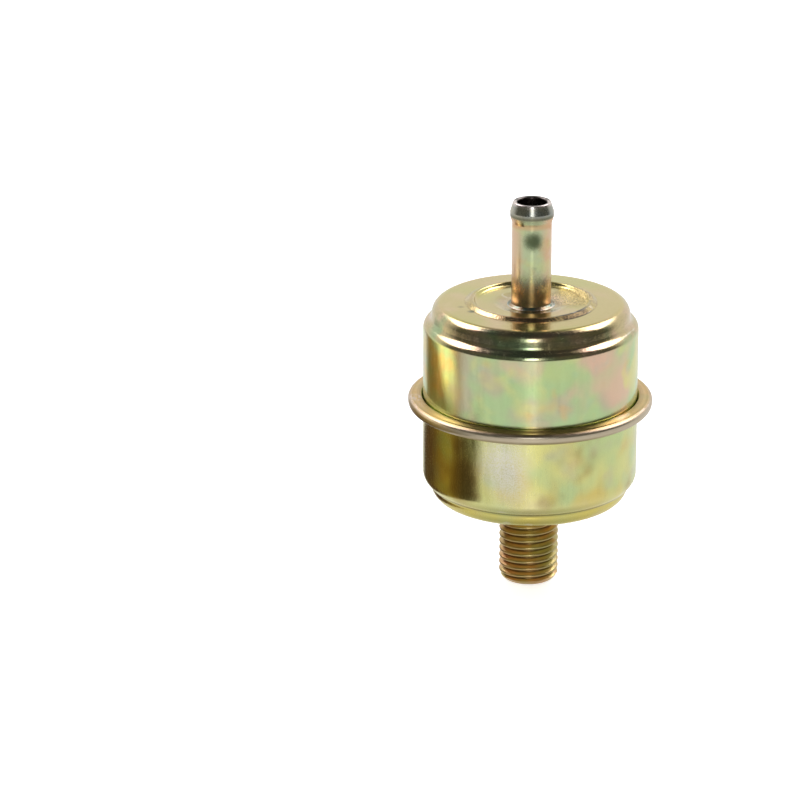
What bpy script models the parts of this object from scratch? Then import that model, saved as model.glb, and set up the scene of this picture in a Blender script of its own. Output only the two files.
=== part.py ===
"""Screw-in canister fuel filter, standing on the end of its thread.

Two drawn steel cups are joined by a rolled seam. A hose nipple is brazed into the upper cup and
a hexagon fitting with a male thread into the lower one. Inside, a coil spring holds a pleated
paper cartridge on the fitting's spigot.

Origin: centre of the thread's end face. +Z runs along the canister towards the hose nipple.
"""

import math

import bmesh
import bpy
from mathutils import Matrix

MM = 0.001
GAP = 0.15  # clearance between pieces that touch in the real filter, in millimetres
MERGE = 0.00001

# Everything below is in millimetres.

# Canister
BODY_R = 21.5
SHEET = 0.6
LAND_BOTTOM_Z = 17.7
LAND_TOP_Z = 58.8
NECK_BOTTOM_R = 19.9
BODY_TOP_Z = 53.53
ROUND_SHOULDER = 1.5
SHOULDER_TILT = 62.5
NECK_TILT = 8.3
STEP_BOTTOM_Z = 21.0
ROUND_BODY_BOTTOM = 2.8
ROUND_LAND_BOTTOM = 3.0
ROUND_LAND_TOP = 2.24
CREASE = 0.3

# Raised ring on the upper end, and the shallow dip inside it that the nipple stands in
TOP_RING_FOOT_R = 13.1
TOP_RING_OUTER_R = 12.2
TOP_RING_INNER_R = 11.5
TOP_RING_RISE = 0.55
DISC_R = 11.0
DISC_DEPTH = 0.1
DIP_RIM_R = 7.4
DIP_FLOOR_R = 5.6
DIP_DEPTH = 0.45

# Raised ring on the lower end, and the recess inside it that the hexagon sits in
END_RING_FOOT_R = 13.5
END_RING_OUTER_R = 12.4
END_RING_INNER_R = 11.7
END_RING_RISE = 0.75
RECESS_FLOOR_R = 10.95
RECESS_DEPTH = 2.0

# Rolled seam, stacked from its underside upwards: sheet, seal, sheet, hem
SEAM_R = 24.5
SEAM_BOTTOM_Z = 37.1
SEAM_GAP = 0.13
SEAL_THICK = 0.3
FLANGE_EDGE_R = 23.5
HEM_EDGE_R = 22.0
FLANGE_FILLET = 1.0
WALL_FILLET = 0.5

# Hose nipple
TUBE_R = 3.97
TUBE_BORE_R = 2.95
TUBE_FOOT_Z = 56.0
TUBE_TOP_Z = 79.7
BEAD_R = 4.34
BEAD_Z = 77.3
BEAD_START_Z = 76.0
LIP_R = 3.7
MOUTH_R = 3.25
MOUTH_ROUND = 0.35
BRAZE_REACH = 1.0
BRAZE_RISE = 0.6

# Threaded fitting, M12 x 1.5 with a 16 mm hexagon
THREAD_R = 6.0
THREAD_PITCH = 1.5
THREAD_DEPTH = 0.9
THREAD_TURNS = 8
THREAD_START_Z = 1.45
END_FACE_R = 4.9
RELIEF_R = 5.3
HEX_FLATS = 16.0
HEX_FACE_Z = 15.05
OUTLET_BORE_R = 3.1
SINK_R = 4.25
SINK_DEPTH = 1.15
SPIGOT_R = 5.0
SPIGOT_TOP_Z = 25.5
BEAD_OUTER_R = 10.7
BEAD_RISE = 1.25

# Cartridge
CAP_R = 18.6
CAP_SHEET = 0.5
CAP_LIP = 3.5
CAP_ROUND = 1.0
CAP_LOWER_Z = 22.7
CAP_UPPER_Z = 48.8
CAP_HOLE_R = 7.2
BUTTON_R = 5.9
BUTTON_RISE = 0.8
POTTING_THICK = 1.5
POTTING_GAP = 0.2
PLEATS = 32
PLEAT_OUTER_R = 17.2
PLEAT_INNER_R = 9.9
PAPER = 0.4
FOLD_WIDTH = 0.5
CLIP_SHEET = 0.3
CLIP_HALF_WIDTH = 1.1
CLIP_INNER_R = 13.8
CLIP_OUTER_R = 17.65
CORE_R = 9.2
CORE_WALL = 0.5
CORE_HOLE_R = 0.95
CORE_SIDES = 24
CORE_COLUMNS = 6
CORE_ROWS = 5
SEAL_BORE_R = 5.15
SEAL_FOOT_R = 8.6
SEAL_HEAD_R = 8.2
SEAL_NECK_R = 7.0
SEAL_TOP_Z = 25.0

# Spring
WIRE_R = 0.5
SPRING_R = 7.0
END_TURNS = 1.0
MIDDLE_TURNS = 1.5
END_PITCH = 1.25
POINTS_PER_TURN = 16

# Facets around the axis
SHELL_SIDES = 36
FITTING_SIDES = 32
RING_SIDES = 32

# Heights that follow from the sizes above
RECESS_FLOOR_Z = LAND_BOTTOM_Z + RECESS_DEPTH
DIP_FLOOR_Z = LAND_TOP_Z - DIP_DEPTH
SEAL_Z = SEAM_BOTTOM_Z + SHEET + SEAM_GAP
FLANGE_TOP_Z = SEAL_Z + SEAL_THICK + SEAM_GAP + SHEET
SEAM_TOP_Z = FLANGE_TOP_Z + SEAM_GAP + SHEET
PAPER_BOTTOM_Z = CAP_LOWER_Z + CAP_SHEET + POTTING_THICK + 2 * POTTING_GAP
PAPER_TOP_Z = CAP_UPPER_Z - CAP_SHEET - POTTING_THICK - 2 * POTTING_GAP


# --- Scene helpers ---------------------------------------------------------------------------


def clear_scene():
    for obj in list(bpy.data.objects):
        bpy.data.objects.remove(obj, do_unlink=True)


def new_collection(name, hidden=False):
    collection = bpy.data.collections.new(name)
    collection.hide_render = hidden
    bpy.context.scene.collection.children.link(collection)
    return collection


def new_material(name, colour, roughness, metallic):
    material = bpy.data.materials.new(name)
    material.use_nodes = True
    shader = material.node_tree.nodes["Principled BSDF"]
    shader.inputs["Base Color"].default_value = (*colour, 1.0)
    shader.inputs["Roughness"].default_value = roughness
    shader.inputs["Metallic"].default_value = metallic
    return material


def new_object(name, mesh, collection, material=None):
    obj = bpy.data.objects.new(name, mesh)
    collection.objects.link(obj)
    if material:
        mesh.materials.append(material)
    return obj


def as_cutter(obj):
    obj.hide_render = True
    obj.display_type = "WIRE"
    return obj


def boolean(obj, other, operation):
    modifier = obj.modifiers.new(operation.title(), "BOOLEAN")
    modifier.operation = operation
    modifier.solver = "EXACT"
    modifier.object = other


# --- Outlines ----------------------------------------------------------------------------------


def arc(centre_r, centre_z, radius, start, end, steps):
    """Points of an arc in the (r, z) plane, its angles in degrees from +r towards +z."""
    angles = [math.radians(start + (end - start) * i / steps) for i in range(steps + 1)]
    return [(centre_r + radius * math.cos(a), centre_z + radius * math.sin(a)) for a in angles]


def running_down_outside(loop):
    """The closed (r, z) outline, turned round if need be so that its outer side runs downwards."""
    following = loop[1:] + loop[:1]
    doubled_area = sum(a[0] * b[1] - b[0] * a[1] for a, b in zip(loop, following))
    return loop if doubled_area < 0 else loop[::-1]


# --- Shapes ------------------------------------------------------------------------------------


def add_screw(obj, sides):
    screw = obj.modifiers.new("Turn", "SCREW")
    screw.axis = "Z"
    screw.steps = sides
    screw.render_steps = sides
    screw.use_merge_vertices = True
    screw.merge_threshold = MERGE
    screw.use_smooth_shade = True


def outline_mesh(name, points, closed):
    """A mesh of edges along the points, each (x, y, z) in millimetres."""
    mesh = bpy.data.meshes.new(name)
    edges = [(i, i + 1) for i in range(len(points) - 1)]
    if closed:
        edges.append((len(points) - 1, 0))
    mesh.from_pydata([[c * MM for c in point] for point in points], edges, [])
    return mesh


def turned_solid(name, loop, sides, collection, material=None):
    """A ring turned from a closed (r, z) outline that stays off the axis."""
    points = [(r, 0, z) for r, z in running_down_outside(loop)]
    obj = new_object(name, outline_mesh(name, points, True), collection, material)
    add_screw(obj, sides)
    return obj


def turned_core(name, side, sides, collection, material=None):
    """A full round solid turned from its side, which runs down from the axis to the axis."""
    points = [(r, 0, z) for r, z in side]
    obj = new_object(name, outline_mesh(name, points, False), collection, material)
    add_screw(obj, sides)
    return obj


def add_thickness(obj, thickness, offset):
    solidify = obj.modifiers.new("Sheet", "SOLIDIFY")
    solidify.thickness = thickness * MM
    solidify.offset = offset
    solidify.use_even_offset = True


def turned_sheet(name, outer_side, thickness, sides, collection, material):
    """Pressed sheet metal: its outer side, which runs downwards, given a thickness inwards."""
    obj = turned_core(name, outer_side, sides, collection, material)
    add_thickness(obj, thickness, -1)
    return obj


def upright_sheet(name, outline, closed, bottom, top, thickness, collection, material):
    """A sheet that stands on an (x, y) outline and is thickened to both sides."""
    mesh = outline_mesh(name, [(x, y, bottom) for x, y in outline], closed)
    shape = bmesh.new()
    shape.from_mesh(mesh)
    raised = bmesh.ops.extrude_edge_only(shape, edges=shape.edges[:])["geom"]
    corners = [item for item in raised if isinstance(item, bmesh.types.BMVert)]
    bmesh.ops.translate(shape, verts=corners, vec=(0, 0, (top - bottom) * MM))
    bmesh.ops.recalc_face_normals(shape, faces=shape.faces[:])
    shape.to_mesh(mesh)
    shape.free()
    obj = new_object(name, mesh, collection, material)
    add_thickness(obj, thickness, 0)
    return obj


# --- Canister ----------------------------------------------------------------------------------


def inlet_shell(parts, plating):
    """Upper cup: dip, raised ring, land, shoulder, wall and the flange that the seam grips."""
    ring_z = LAND_TOP_Z + TOP_RING_RISE
    side = [
        (TUBE_R + GAP, DIP_FLOOR_Z),
        (DIP_FLOOR_R, DIP_FLOOR_Z),
        (DIP_RIM_R, LAND_TOP_Z - DISC_DEPTH),
        (DISC_R, LAND_TOP_Z - DISC_DEPTH),
        (TOP_RING_INNER_R, ring_z),
        (TOP_RING_OUTER_R, ring_z),
        (TOP_RING_FOOT_R, LAND_TOP_Z),
    ]
    tilt = math.radians(SHOULDER_TILT)
    neck = math.radians(NECK_TILT)
    hollow_r = BODY_R - ROUND_SHOULDER + 2 * ROUND_SHOULDER * math.cos(tilt)
    hollow_z = BODY_TOP_Z + 2 * ROUND_SHOULDER * math.sin(tilt)
    land_z = LAND_TOP_Z - ROUND_LAND_TOP
    reach = ROUND_SHOULDER + ROUND_LAND_TOP + (land_z - hollow_z) * math.sin(neck)
    land_r = hollow_r - reach / math.cos(neck)
    side += arc(land_r, land_z, ROUND_LAND_TOP, 90, NECK_TILT, 4)
    side += arc(hollow_r, hollow_z, ROUND_SHOULDER, 180 + NECK_TILT, 180 + SHOULDER_TILT, 3)
    side += arc(BODY_R - ROUND_SHOULDER, BODY_TOP_Z, ROUND_SHOULDER, SHOULDER_TILT, 0, 3)[1:]
    side += arc(BODY_R + WALL_FILLET, FLANGE_TOP_Z + WALL_FILLET, WALL_FILLET, 180, 270, 2)
    side.append((FLANGE_EDGE_R, FLANGE_TOP_Z))
    return turned_sheet("inlet_shell", side, SHEET, SHELL_SIDES, parts, plating)


def outlet_shell(parts, plating):
    """Lower cup: a rolled rim, and a raised ring round the recess that the hexagon sits in."""
    roll = (SEAM_TOP_Z - SEAM_BOTTOM_Z) / 2
    side = [(HEM_EDGE_R, SEAM_TOP_Z)]
    side += arc(SEAM_R - roll, SEAM_BOTTOM_Z + roll, roll, 90, -90, 6)
    side += arc(BODY_R + FLANGE_FILLET, SEAM_BOTTOM_Z - FLANGE_FILLET, FLANGE_FILLET, 90, 180, 2)
    body_round_z = STEP_BOTTOM_Z + math.sqrt(
        ROUND_BODY_BOTTOM**2 - (NECK_BOTTOM_R + CREASE - BODY_R + ROUND_BODY_BOTTOM) ** 2
    )
    side += arc(BODY_R - ROUND_BODY_BOTTOM, body_round_z, ROUND_BODY_BOTTOM, 0, -57, 3)
    side.append((NECK_BOTTOM_R, STEP_BOTTOM_Z - CREASE))
    side += arc(
        NECK_BOTTOM_R - ROUND_LAND_BOTTOM,
        LAND_BOTTOM_Z + ROUND_LAND_BOTTOM,
        ROUND_LAND_BOTTOM,
        -15,
        -90,
        3,
    )
    side += [
        (END_RING_FOOT_R, LAND_BOTTOM_Z),
        (END_RING_OUTER_R, LAND_BOTTOM_Z - END_RING_RISE),
        (END_RING_INNER_R, LAND_BOTTOM_Z - END_RING_RISE),
        (RECESS_FLOOR_R, RECESS_FLOOR_Z),
        (SPIGOT_R + GAP, RECESS_FLOOR_Z),
    ]
    return turned_sheet("outlet_shell", side, SHEET, SHELL_SIDES, parts, plating)


def seam_seal(parts, compound):
    inner_r = BODY_R + SHEET
    outer_r = FLANGE_EDGE_R - GAP
    loop = [
        (inner_r, SEAL_Z),
        (outer_r, SEAL_Z),
        (outer_r, SEAL_Z + SEAL_THICK),
        (inner_r, SEAL_Z + SEAL_THICK),
    ]
    return turned_solid("seam_seal", loop, SHELL_SIDES, parts, compound)


# --- Hose nipple -------------------------------------------------------------------------------


def inlet_tube(parts, plating):
    """Hose nipple: a straight tube with a rolled bead that holds the hose."""
    lip_round = (LIP_R + BEAD_R) / 2
    loop = [
        (TUBE_BORE_R, TUBE_TOP_Z - MOUTH_ROUND),
        (MOUTH_R, TUBE_TOP_Z),
        (LIP_R, TUBE_TOP_Z),
        (lip_round, TUBE_TOP_Z - (TUBE_TOP_Z - BEAD_Z) / 3),
        (BEAD_R, BEAD_Z),
        (BEAD_R, BEAD_Z - (BEAD_Z - BEAD_START_Z) / 3),
        (TUBE_R, BEAD_START_Z),
        (TUBE_R, TUBE_FOOT_Z),
        (TUBE_BORE_R, TUBE_FOOT_Z),
    ]
    return turned_solid("inlet_tube", loop, FITTING_SIDES, parts, plating)


def inlet_braze(parts, braze):
    """Braze ring with a hollow slope, between the nipple and the floor of the dip."""
    inner_r = TUBE_R + GAP
    foot_z = DIP_FLOOR_Z + GAP
    loop = [
        (inner_r, foot_z),
        (inner_r, foot_z + BRAZE_RISE),
        (inner_r + BRAZE_REACH / 3, foot_z + BRAZE_RISE / 2),
        (inner_r + BRAZE_REACH, foot_z + BRAZE_RISE / 5),
        (inner_r + BRAZE_REACH, foot_z),
    ]
    return turned_solid("inlet_braze", loop, RING_SIDES, parts, braze)


# --- Threaded fitting --------------------------------------------------------------------------


def thread_side():
    """The thread's side from its relief groove down to the end face, one groove for each turn."""
    flank = THREAD_DEPTH * math.tan(math.radians(30))
    crest = THREAD_PITCH / 8
    root = THREAD_PITCH - crest - 2 * flank
    root_r = THREAD_R - THREAD_DEPTH
    side = []
    for turn in reversed(range(THREAD_TURNS)):
        low = THREAD_START_Z + turn * THREAD_PITCH
        side += [
            (root_r, low + THREAD_PITCH - flank),
            (root_r, low + THREAD_PITCH - flank - root),
            (THREAD_R, low + crest),
            (THREAD_R, low),
        ]
    return side + [(END_FACE_R, 0), (0, 0)]


def hexagon(name, across_flats, bottom, top, cutters):
    """A hexagon bar with two of its flats facing +Y and -Y."""
    mesh = bpy.data.meshes.new(name)
    shape = bmesh.new()
    corner_r = across_flats / 2 / math.cos(math.radians(30)) * MM
    bmesh.ops.create_cone(
        shape,
        cap_ends=True,
        segments=6,
        radius1=corner_r,
        radius2=corner_r,
        depth=(top - bottom) * MM,
        matrix=Matrix.Translation((0, 0, (top + bottom) / 2 * MM)) @ Matrix.Rotation(
            math.radians(90), 4, "Z"
        ),
    )
    shape.to_mesh(mesh)
    shape.free()
    return as_cutter(new_object(name, mesh, cutters))


def outlet_fitting(parts, cutters, plating):
    """Thread, hexagon and the spigot that the cartridge sits on, with one bore through all."""
    thread_top_z = THREAD_START_Z + THREAD_TURNS * THREAD_PITCH
    side = [(0, SPIGOT_TOP_Z), (SPIGOT_R - CREASE, SPIGOT_TOP_Z)]
    side += [(SPIGOT_R, SPIGOT_TOP_Z - CREASE), (SPIGOT_R, HEX_FACE_Z + 1), (RELIEF_R, HEX_FACE_Z)]
    side.append((RELIEF_R, thread_top_z + CREASE))
    side += thread_side()
    fitting = turned_core("outlet_fitting", side, FITTING_SIDES, parts, plating)
    hex_top_z = RECESS_FLOOR_Z - GAP
    boolean(fitting, hexagon("fitting_hexagon", HEX_FLATS, HEX_FACE_Z, hex_top_z, cutters), "UNION")
    past = 1.0
    spread = (SINK_R - OUTLET_BORE_R) / SINK_DEPTH * past
    bore_side = [
        (0, SPIGOT_TOP_Z + past),
        (OUTLET_BORE_R, SPIGOT_TOP_Z + past),
        (OUTLET_BORE_R, SINK_DEPTH),
        (SINK_R + spread, -past),
        (0, -past),
    ]
    bore = as_cutter(turned_core("fitting_bore", bore_side, FITTING_SIDES, cutters))
    boolean(fitting, bore, "DIFFERENCE")
    return fitting


def outlet_braze(parts, cutters, braze):
    """Braze bead that fills the corner between the hexagon and the floor of the recess."""
    floor_z = RECESS_FLOOR_Z - GAP
    inner_r = HEX_FLATS / 2 - GAP
    middle_r = (HEX_FLATS / 2 + BEAD_OUTER_R) / 2
    loop = [
        (inner_r, floor_z),
        (inner_r, floor_z - BEAD_RISE),
        (middle_r, floor_z - BEAD_RISE),
        ((middle_r + BEAD_OUTER_R) / 2, floor_z - BEAD_RISE * 0.75),
        (BEAD_OUTER_R, floor_z - BEAD_RISE / 5),
        (BEAD_OUTER_R, floor_z),
    ]
    bead = turned_solid("outlet_braze", loop, RING_SIDES, parts, braze)
    room = hexagon("braze_room", HEX_FLATS + 2 * GAP, HEX_FACE_Z, RECESS_FLOOR_Z + 1, cutters)
    boolean(bead, room, "DIFFERENCE")
    return bead


# --- Cartridge ---------------------------------------------------------------------------------


def upper_end_cap(parts, tin):
    """Closed cap with a raised button that centres the spring."""
    button_z = CAP_UPPER_Z + BUTTON_RISE
    side = [(0, button_z), (BUTTON_R - BUTTON_RISE, button_z), (BUTTON_R, CAP_UPPER_Z)]
    side += arc(CAP_R - CAP_ROUND, CAP_UPPER_Z - CAP_ROUND, CAP_ROUND, 90, 0, 2)
    side.append((CAP_R, CAP_UPPER_Z - CAP_LIP))
    return turned_sheet("upper_end_cap", side, CAP_SHEET, RING_SIDES, parts, tin)


def lower_end_cap(parts, tin):
    """Open cap: its hole holds the grommet."""
    side = [(CAP_R, CAP_LOWER_Z + CAP_LIP)]
    side += arc(CAP_R - CAP_ROUND, CAP_LOWER_Z + CAP_ROUND, CAP_ROUND, 0, -90, 2)
    side.append((CAP_HOLE_R, CAP_LOWER_Z))
    return turned_sheet("lower_end_cap", side, CAP_SHEET, RING_SIDES, parts, tin)


def potting(name, bottom, parts, adhesive):
    inner_r = CORE_R + POTTING_GAP
    outer_r = CAP_R - CAP_SHEET - POTTING_GAP
    edge_r = outer_r - CAP_SHEET
    top = bottom + POTTING_THICK
    middle = (bottom + top) / 2
    loop = [(inner_r, bottom), (edge_r, bottom), (outer_r, middle), (edge_r, top), (inner_r, top)]
    return turned_solid(name, loop, RING_SIDES, parts, adhesive)


def pleat_outline():
    """Star-shaped loop of folds, each fold flattened over a short width."""
    outline = []
    for pleat in range(PLEATS):
        middle = 2 * math.pi * pleat / PLEATS
        for radius, angle in ((PLEAT_OUTER_R, middle), (PLEAT_INNER_R, middle + math.pi / PLEATS)):
            half_fold = FOLD_WIDTH / 2 / radius
            for turn in (angle - half_fold, angle + half_fold):
                outline.append((radius * math.cos(turn), radius * math.sin(turn)))
    return outline


def filter_media(parts, paper):
    return upright_sheet(
        "filter_media", pleat_outline(), True, PAPER_BOTTOM_Z, PAPER_TOP_Z, PAPER, parts, paper
    )


def media_seam_clip(parts, tin):
    """Folded strip over the tip of the pleat that closes the paper's loop."""
    outline = [
        (CLIP_INNER_R, -CLIP_HALF_WIDTH),
        (CLIP_OUTER_R, -CLIP_HALF_WIDTH),
        (CLIP_OUTER_R, CLIP_HALF_WIDTH),
        (CLIP_INNER_R, CLIP_HALF_WIDTH),
    ]
    return upright_sheet(
        "media_seam_clip", outline, False, PAPER_BOTTOM_Z, PAPER_TOP_Z, CLIP_SHEET, parts, tin
    )


def core_tube(parts, cutters, tin):
    """Perforated tube inside the pleats, its rows of holes staggered."""
    bottom = CAP_LOWER_Z + CAP_SHEET + POTTING_GAP
    top = CAP_UPPER_Z - CAP_SHEET - POTTING_GAP
    inner_r = CORE_R - CORE_WALL
    loop = [(inner_r, bottom), (CORE_R, bottom), (CORE_R, top), (inner_r, top)]
    tube = turned_solid("core_tube", loop, CORE_SIDES, parts, tin)
    mesh = bpy.data.meshes.new("core_holes")
    shape = bmesh.new()
    facet = 2 * math.pi / CORE_SIDES
    row_height = (PAPER_TOP_Z - PAPER_BOTTOM_Z) / CORE_ROWS
    for row in range(CORE_ROWS):
        for column in range(CORE_COLUMNS):
            facets_round = column * CORE_SIDES / CORE_COLUMNS + row % 2 * 2 + 0.5
            place = (
                Matrix.Rotation(facets_round * facet, 4, "Z")
                @ Matrix.Translation((CORE_R * MM, 0, (PAPER_BOTTOM_Z + (row + 0.5) * row_height) * MM))
                @ Matrix.Rotation(math.radians(90), 4, "Y")
            )
            bmesh.ops.create_cone(
                shape,
                cap_ends=True,
                segments=8,
                radius1=CORE_HOLE_R * MM,
                radius2=CORE_HOLE_R * MM,
                depth=4 * CORE_WALL * MM,
                matrix=place,
            )
    shape.to_mesh(mesh)
    shape.free()
    boolean(tube, as_cutter(new_object("core_holes", mesh, cutters)), "DIFFERENCE")
    return tube


def outlet_seal(parts, rubber):
    """Grommet: a foot and a head with a groove between them for the edge of the cap's hole."""
    foot_z = RECESS_FLOOR_Z + SHEET + GAP
    groove_low = CAP_LOWER_Z - POTTING_GAP
    groove_high = CAP_LOWER_Z + CAP_SHEET + POTTING_GAP
    loop = [
        (SEAL_BORE_R, foot_z),
        (SEAL_FOOT_R, foot_z),
        (SEAL_FOOT_R, groove_low),
        (SEAL_NECK_R, groove_low),
        (SEAL_NECK_R, groove_high),
        (SEAL_HEAD_R, groove_high),
        (SEAL_HEAD_R - CREASE, SEAL_TOP_Z),
        (SEAL_BORE_R, SEAL_TOP_Z),
    ]
    return turned_solid("outlet_seal", loop, RING_SIDES, parts, rubber)


# --- Spring ------------------------------------------------------------------------------------


def element_spring(parts, steel):
    """Compression spring between the closed cap and the upper cup, its end turns wound close."""
    low = CAP_UPPER_Z + GAP + WIRE_R
    high = DIP_FLOOR_Z - SHEET - GAP - WIRE_R
    middle_pitch = (high - low - 2 * END_TURNS * END_PITCH) / MIDDLE_TURNS
    turns = 2 * END_TURNS + MIDDLE_TURNS
    count = round(turns * POINTS_PER_TURN)
    curve = bpy.data.curves.new("element_spring", "CURVE")
    curve.dimensions = "3D"
    curve.bevel_depth = WIRE_R * MM
    curve.bevel_resolution = 2
    curve.use_fill_caps = True
    spline = curve.splines.new("POLY")
    spline.points.add(count)
    for i, point in enumerate(spline.points):
        turn = turns * i / count
        in_first = min(turn, END_TURNS)
        in_middle = min(max(turn - END_TURNS, 0), MIDDLE_TURNS)
        in_last = max(turn - END_TURNS - MIDDLE_TURNS, 0)
        z = low + (in_first + in_last) * END_PITCH + in_middle * middle_pitch
        angle = 2 * math.pi * turn
        x = SPRING_R * math.cos(angle)
        y = SPRING_R * math.sin(angle)
        point.co = (x * MM, y * MM, z * MM, 1)
    curve.materials.append(steel)
    obj = bpy.data.objects.new("element_spring", curve)
    parts.objects.link(obj)
    return obj


# --- Assembly ----------------------------------------------------------------------------------


def hang_on(parent_name, children, collection):
    """Parents the children to an empty on the axis, where the cartridge slides."""
    parent = bpy.data.objects.new(parent_name, None)
    collection.objects.link(parent)
    for child in children:
        child.parent = parent


def build():
    clear_scene()
    parts = new_collection("fuel_filter")
    cutters = new_collection("cutters", hidden=True)
    shell_plating = new_material("shell_plating", (0.74, 0.68, 0.36), 0.28, 1.0)
    fitting_plating = new_material("fitting_plating", (0.72, 0.55, 0.28), 0.32, 1.0)
    tube_plating = new_material("tube_plating", (0.62, 0.58, 0.42), 0.25, 1.0)
    braze = new_material("braze", (0.36, 0.46, 0.36), 0.35, 1.0)
    tin = new_material("tinplate", (0.72, 0.72, 0.70), 0.3, 1.0)
    spring_steel = new_material("spring_steel", (0.45, 0.45, 0.46), 0.35, 1.0)
    paper = new_material("filter_paper", (0.80, 0.66, 0.40), 0.9, 0.0)
    adhesive = new_material("adhesive", (0.45, 0.12, 0.08), 0.5, 0.0)
    rubber = new_material("rubber", (0.03, 0.03, 0.03), 0.7, 0.0)
    compound = new_material("seam_compound", (0.10, 0.10, 0.11), 0.6, 0.0)

    inlet_shell(parts, shell_plating)
    outlet_shell(parts, shell_plating)
    seam_seal(parts, compound)
    inlet_tube(parts, tube_plating)
    inlet_braze(parts, braze)
    outlet_fitting(parts, cutters, fitting_plating)
    outlet_braze(parts, cutters, braze)
    element_spring(parts, spring_steel)
    cartridge = [
        upper_end_cap(parts, tin),
        potting("upper_potting", PAPER_TOP_Z + POTTING_GAP, parts, adhesive),
        filter_media(parts, paper),
        media_seam_clip(parts, tin),
        core_tube(parts, cutters, tin),
        potting("lower_potting", PAPER_BOTTOM_Z - POTTING_GAP - POTTING_THICK, parts, adhesive),
        lower_end_cap(parts, tin),
        outlet_seal(parts, rubber),
    ]
    hang_on("cartridge_axis", cartridge, parts)


build()
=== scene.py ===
"""Looks of the screw-in fuel filter: plated shells, nipple, threaded fitting and cartridge.

Lengths are millimetres, turned into metres as each mesh is made. Heights and radii come from the
CAD nodes' boxes where a box gives them.
"""

import math

import bmesh
import bpy
import numpy as np
from mathutils import Matrix, Vector, noise


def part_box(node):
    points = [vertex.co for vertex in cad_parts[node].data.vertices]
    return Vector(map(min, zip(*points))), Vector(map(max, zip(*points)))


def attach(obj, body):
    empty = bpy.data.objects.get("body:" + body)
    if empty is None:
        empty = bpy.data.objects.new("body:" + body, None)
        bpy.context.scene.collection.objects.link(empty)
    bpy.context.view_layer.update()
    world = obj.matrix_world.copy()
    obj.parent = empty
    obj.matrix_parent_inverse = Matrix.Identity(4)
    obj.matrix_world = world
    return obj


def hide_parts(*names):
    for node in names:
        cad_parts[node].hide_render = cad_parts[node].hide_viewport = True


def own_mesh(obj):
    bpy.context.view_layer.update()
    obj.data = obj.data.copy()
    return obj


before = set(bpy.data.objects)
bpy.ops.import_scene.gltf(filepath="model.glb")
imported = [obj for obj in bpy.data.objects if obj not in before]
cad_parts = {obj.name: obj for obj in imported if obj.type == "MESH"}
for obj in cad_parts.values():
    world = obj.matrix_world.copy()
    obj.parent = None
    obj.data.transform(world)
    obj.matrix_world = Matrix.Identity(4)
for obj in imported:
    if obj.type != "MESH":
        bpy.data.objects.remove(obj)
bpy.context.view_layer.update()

MM = 0.001
SIDES = 192
CANISTER = "canister"
CARTRIDGE = "cartridge"


def low(node, axis):
    """Where a node's box starts along an axis, in millimetres."""
    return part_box(node)[0][axis] / MM


def high(node, axis):
    """Where a node's box ends along an axis, in millimetres."""
    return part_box(node)[1][axis] / MM


X, Y, Z = 0, 1, 2

# Canister
SHEET = 0.6
SEAM_R = high("outlet_shell", X)
SEAM_TOP_Z = high("outlet_shell", Z)
TOP_RING_RISE = 0.55
END_RING_RISE = 0.75
LAND_BOTTOM_Z = low("outlet_shell", Z) + END_RING_RISE
LAND_TOP_Z = high("inlet_shell", Z) - TOP_RING_RISE
FLANGE_R = high("inlet_shell", X)
FLANGE_TOP_Z = low("inlet_shell", Z) + SHEET
BODY_R = 21.5
NECK_TOP_R = 20.0
NECK_BOTTOM_R = 19.9
SHOULDER_FOOT_Z = 55.21
SHOULDER_EDGE_Z = 54.44
STEP_BOTTOM_Z = 21.0
SEAM_BOTTOM_Z = 37.1
HEM_EDGE_R = 21.7
HEM_FACE_R = 23.25
HEM_CREST_R = 23.8
BODY_ROUND = 2.8
LAND_ROUND = 3.0
STEP_CREASE = 0.3
DISC_DEPTH = 0.1
DIP_DEPTH = 0.45
DIP_FLOOR_R = 5.6
DIP_RIM_R = 7.4
DISC_R = 11.0
TOP_RING_INNER_R = 11.5
TOP_RING_OUTER_R = 12.15
TOP_RING_FOOT_R = 13.1
END_RING_FOOT_R = 13.5
END_RING_TOP_R = 11.8
RECESS_R = 10.95
RECESS_DEPTH = 2.0
JOINT_GAP = 0.15

# Nipple
TUBE_TOP_Z = high("inlet_tube", Z)
TUBE_FOOT_Z = low("inlet_tube", Z)
BEAD_R = high("inlet_tube", X)
BEAD_LIP_R = 3.72
BEAD_LOW_Z = 76.75
BEAD_HIGH_Z = 77.75
BEAD_FOOT_Z = 75.4
TUBE_R = 3.97
TUBE_BORE_R = 2.95

# Fitting
SPIGOT_TOP_Z = high("outlet_fitting", Z)
HEX_APOTHEM = high("outlet_fitting", Y)
THREAD_R = 6.0
THREAD_PITCH = 1.5
THREAD_DEPTH = 0.92
THREAD_START = -0.32  # share of a pitch
THREAD_CREST = 0.24  # share of a pitch
CREST_SOFTNESS = 0.03
THREAD_TOP_Z = 13.4
RELIEF_R = 5.3
END_FACE_R = 4.9
CHAMFER_RISE = 1.35
HEX_FACE_Z = 15.05
SPIGOT_R = 5.0
OUTLET_BORE_R = 3.1
SINK_R = 4.25
SINK_DEPTH = 1.15

# Cartridge and its spring
CAP_R = high("lower_end_cap", X)
CAP_SHEET = 0.5
CAP_FACE_Z = 48.8
CAP_HOLE_R = 7.2
BUTTON_R = 5.9
POTTING_BORE_R = 9.35
SPRING_R = 7.0
WIRE_R = 0.5
SPRING_END_PITCH = 1.25
SPRING_OPEN_TURNS = 1.5
SEAL_BORE_R = 5.15
SEAL_FOOT_R = 8.6
SEAL_GROOVE_R = 7.0


# --- Node trees ------------------------------------------------------------------------------


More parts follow.
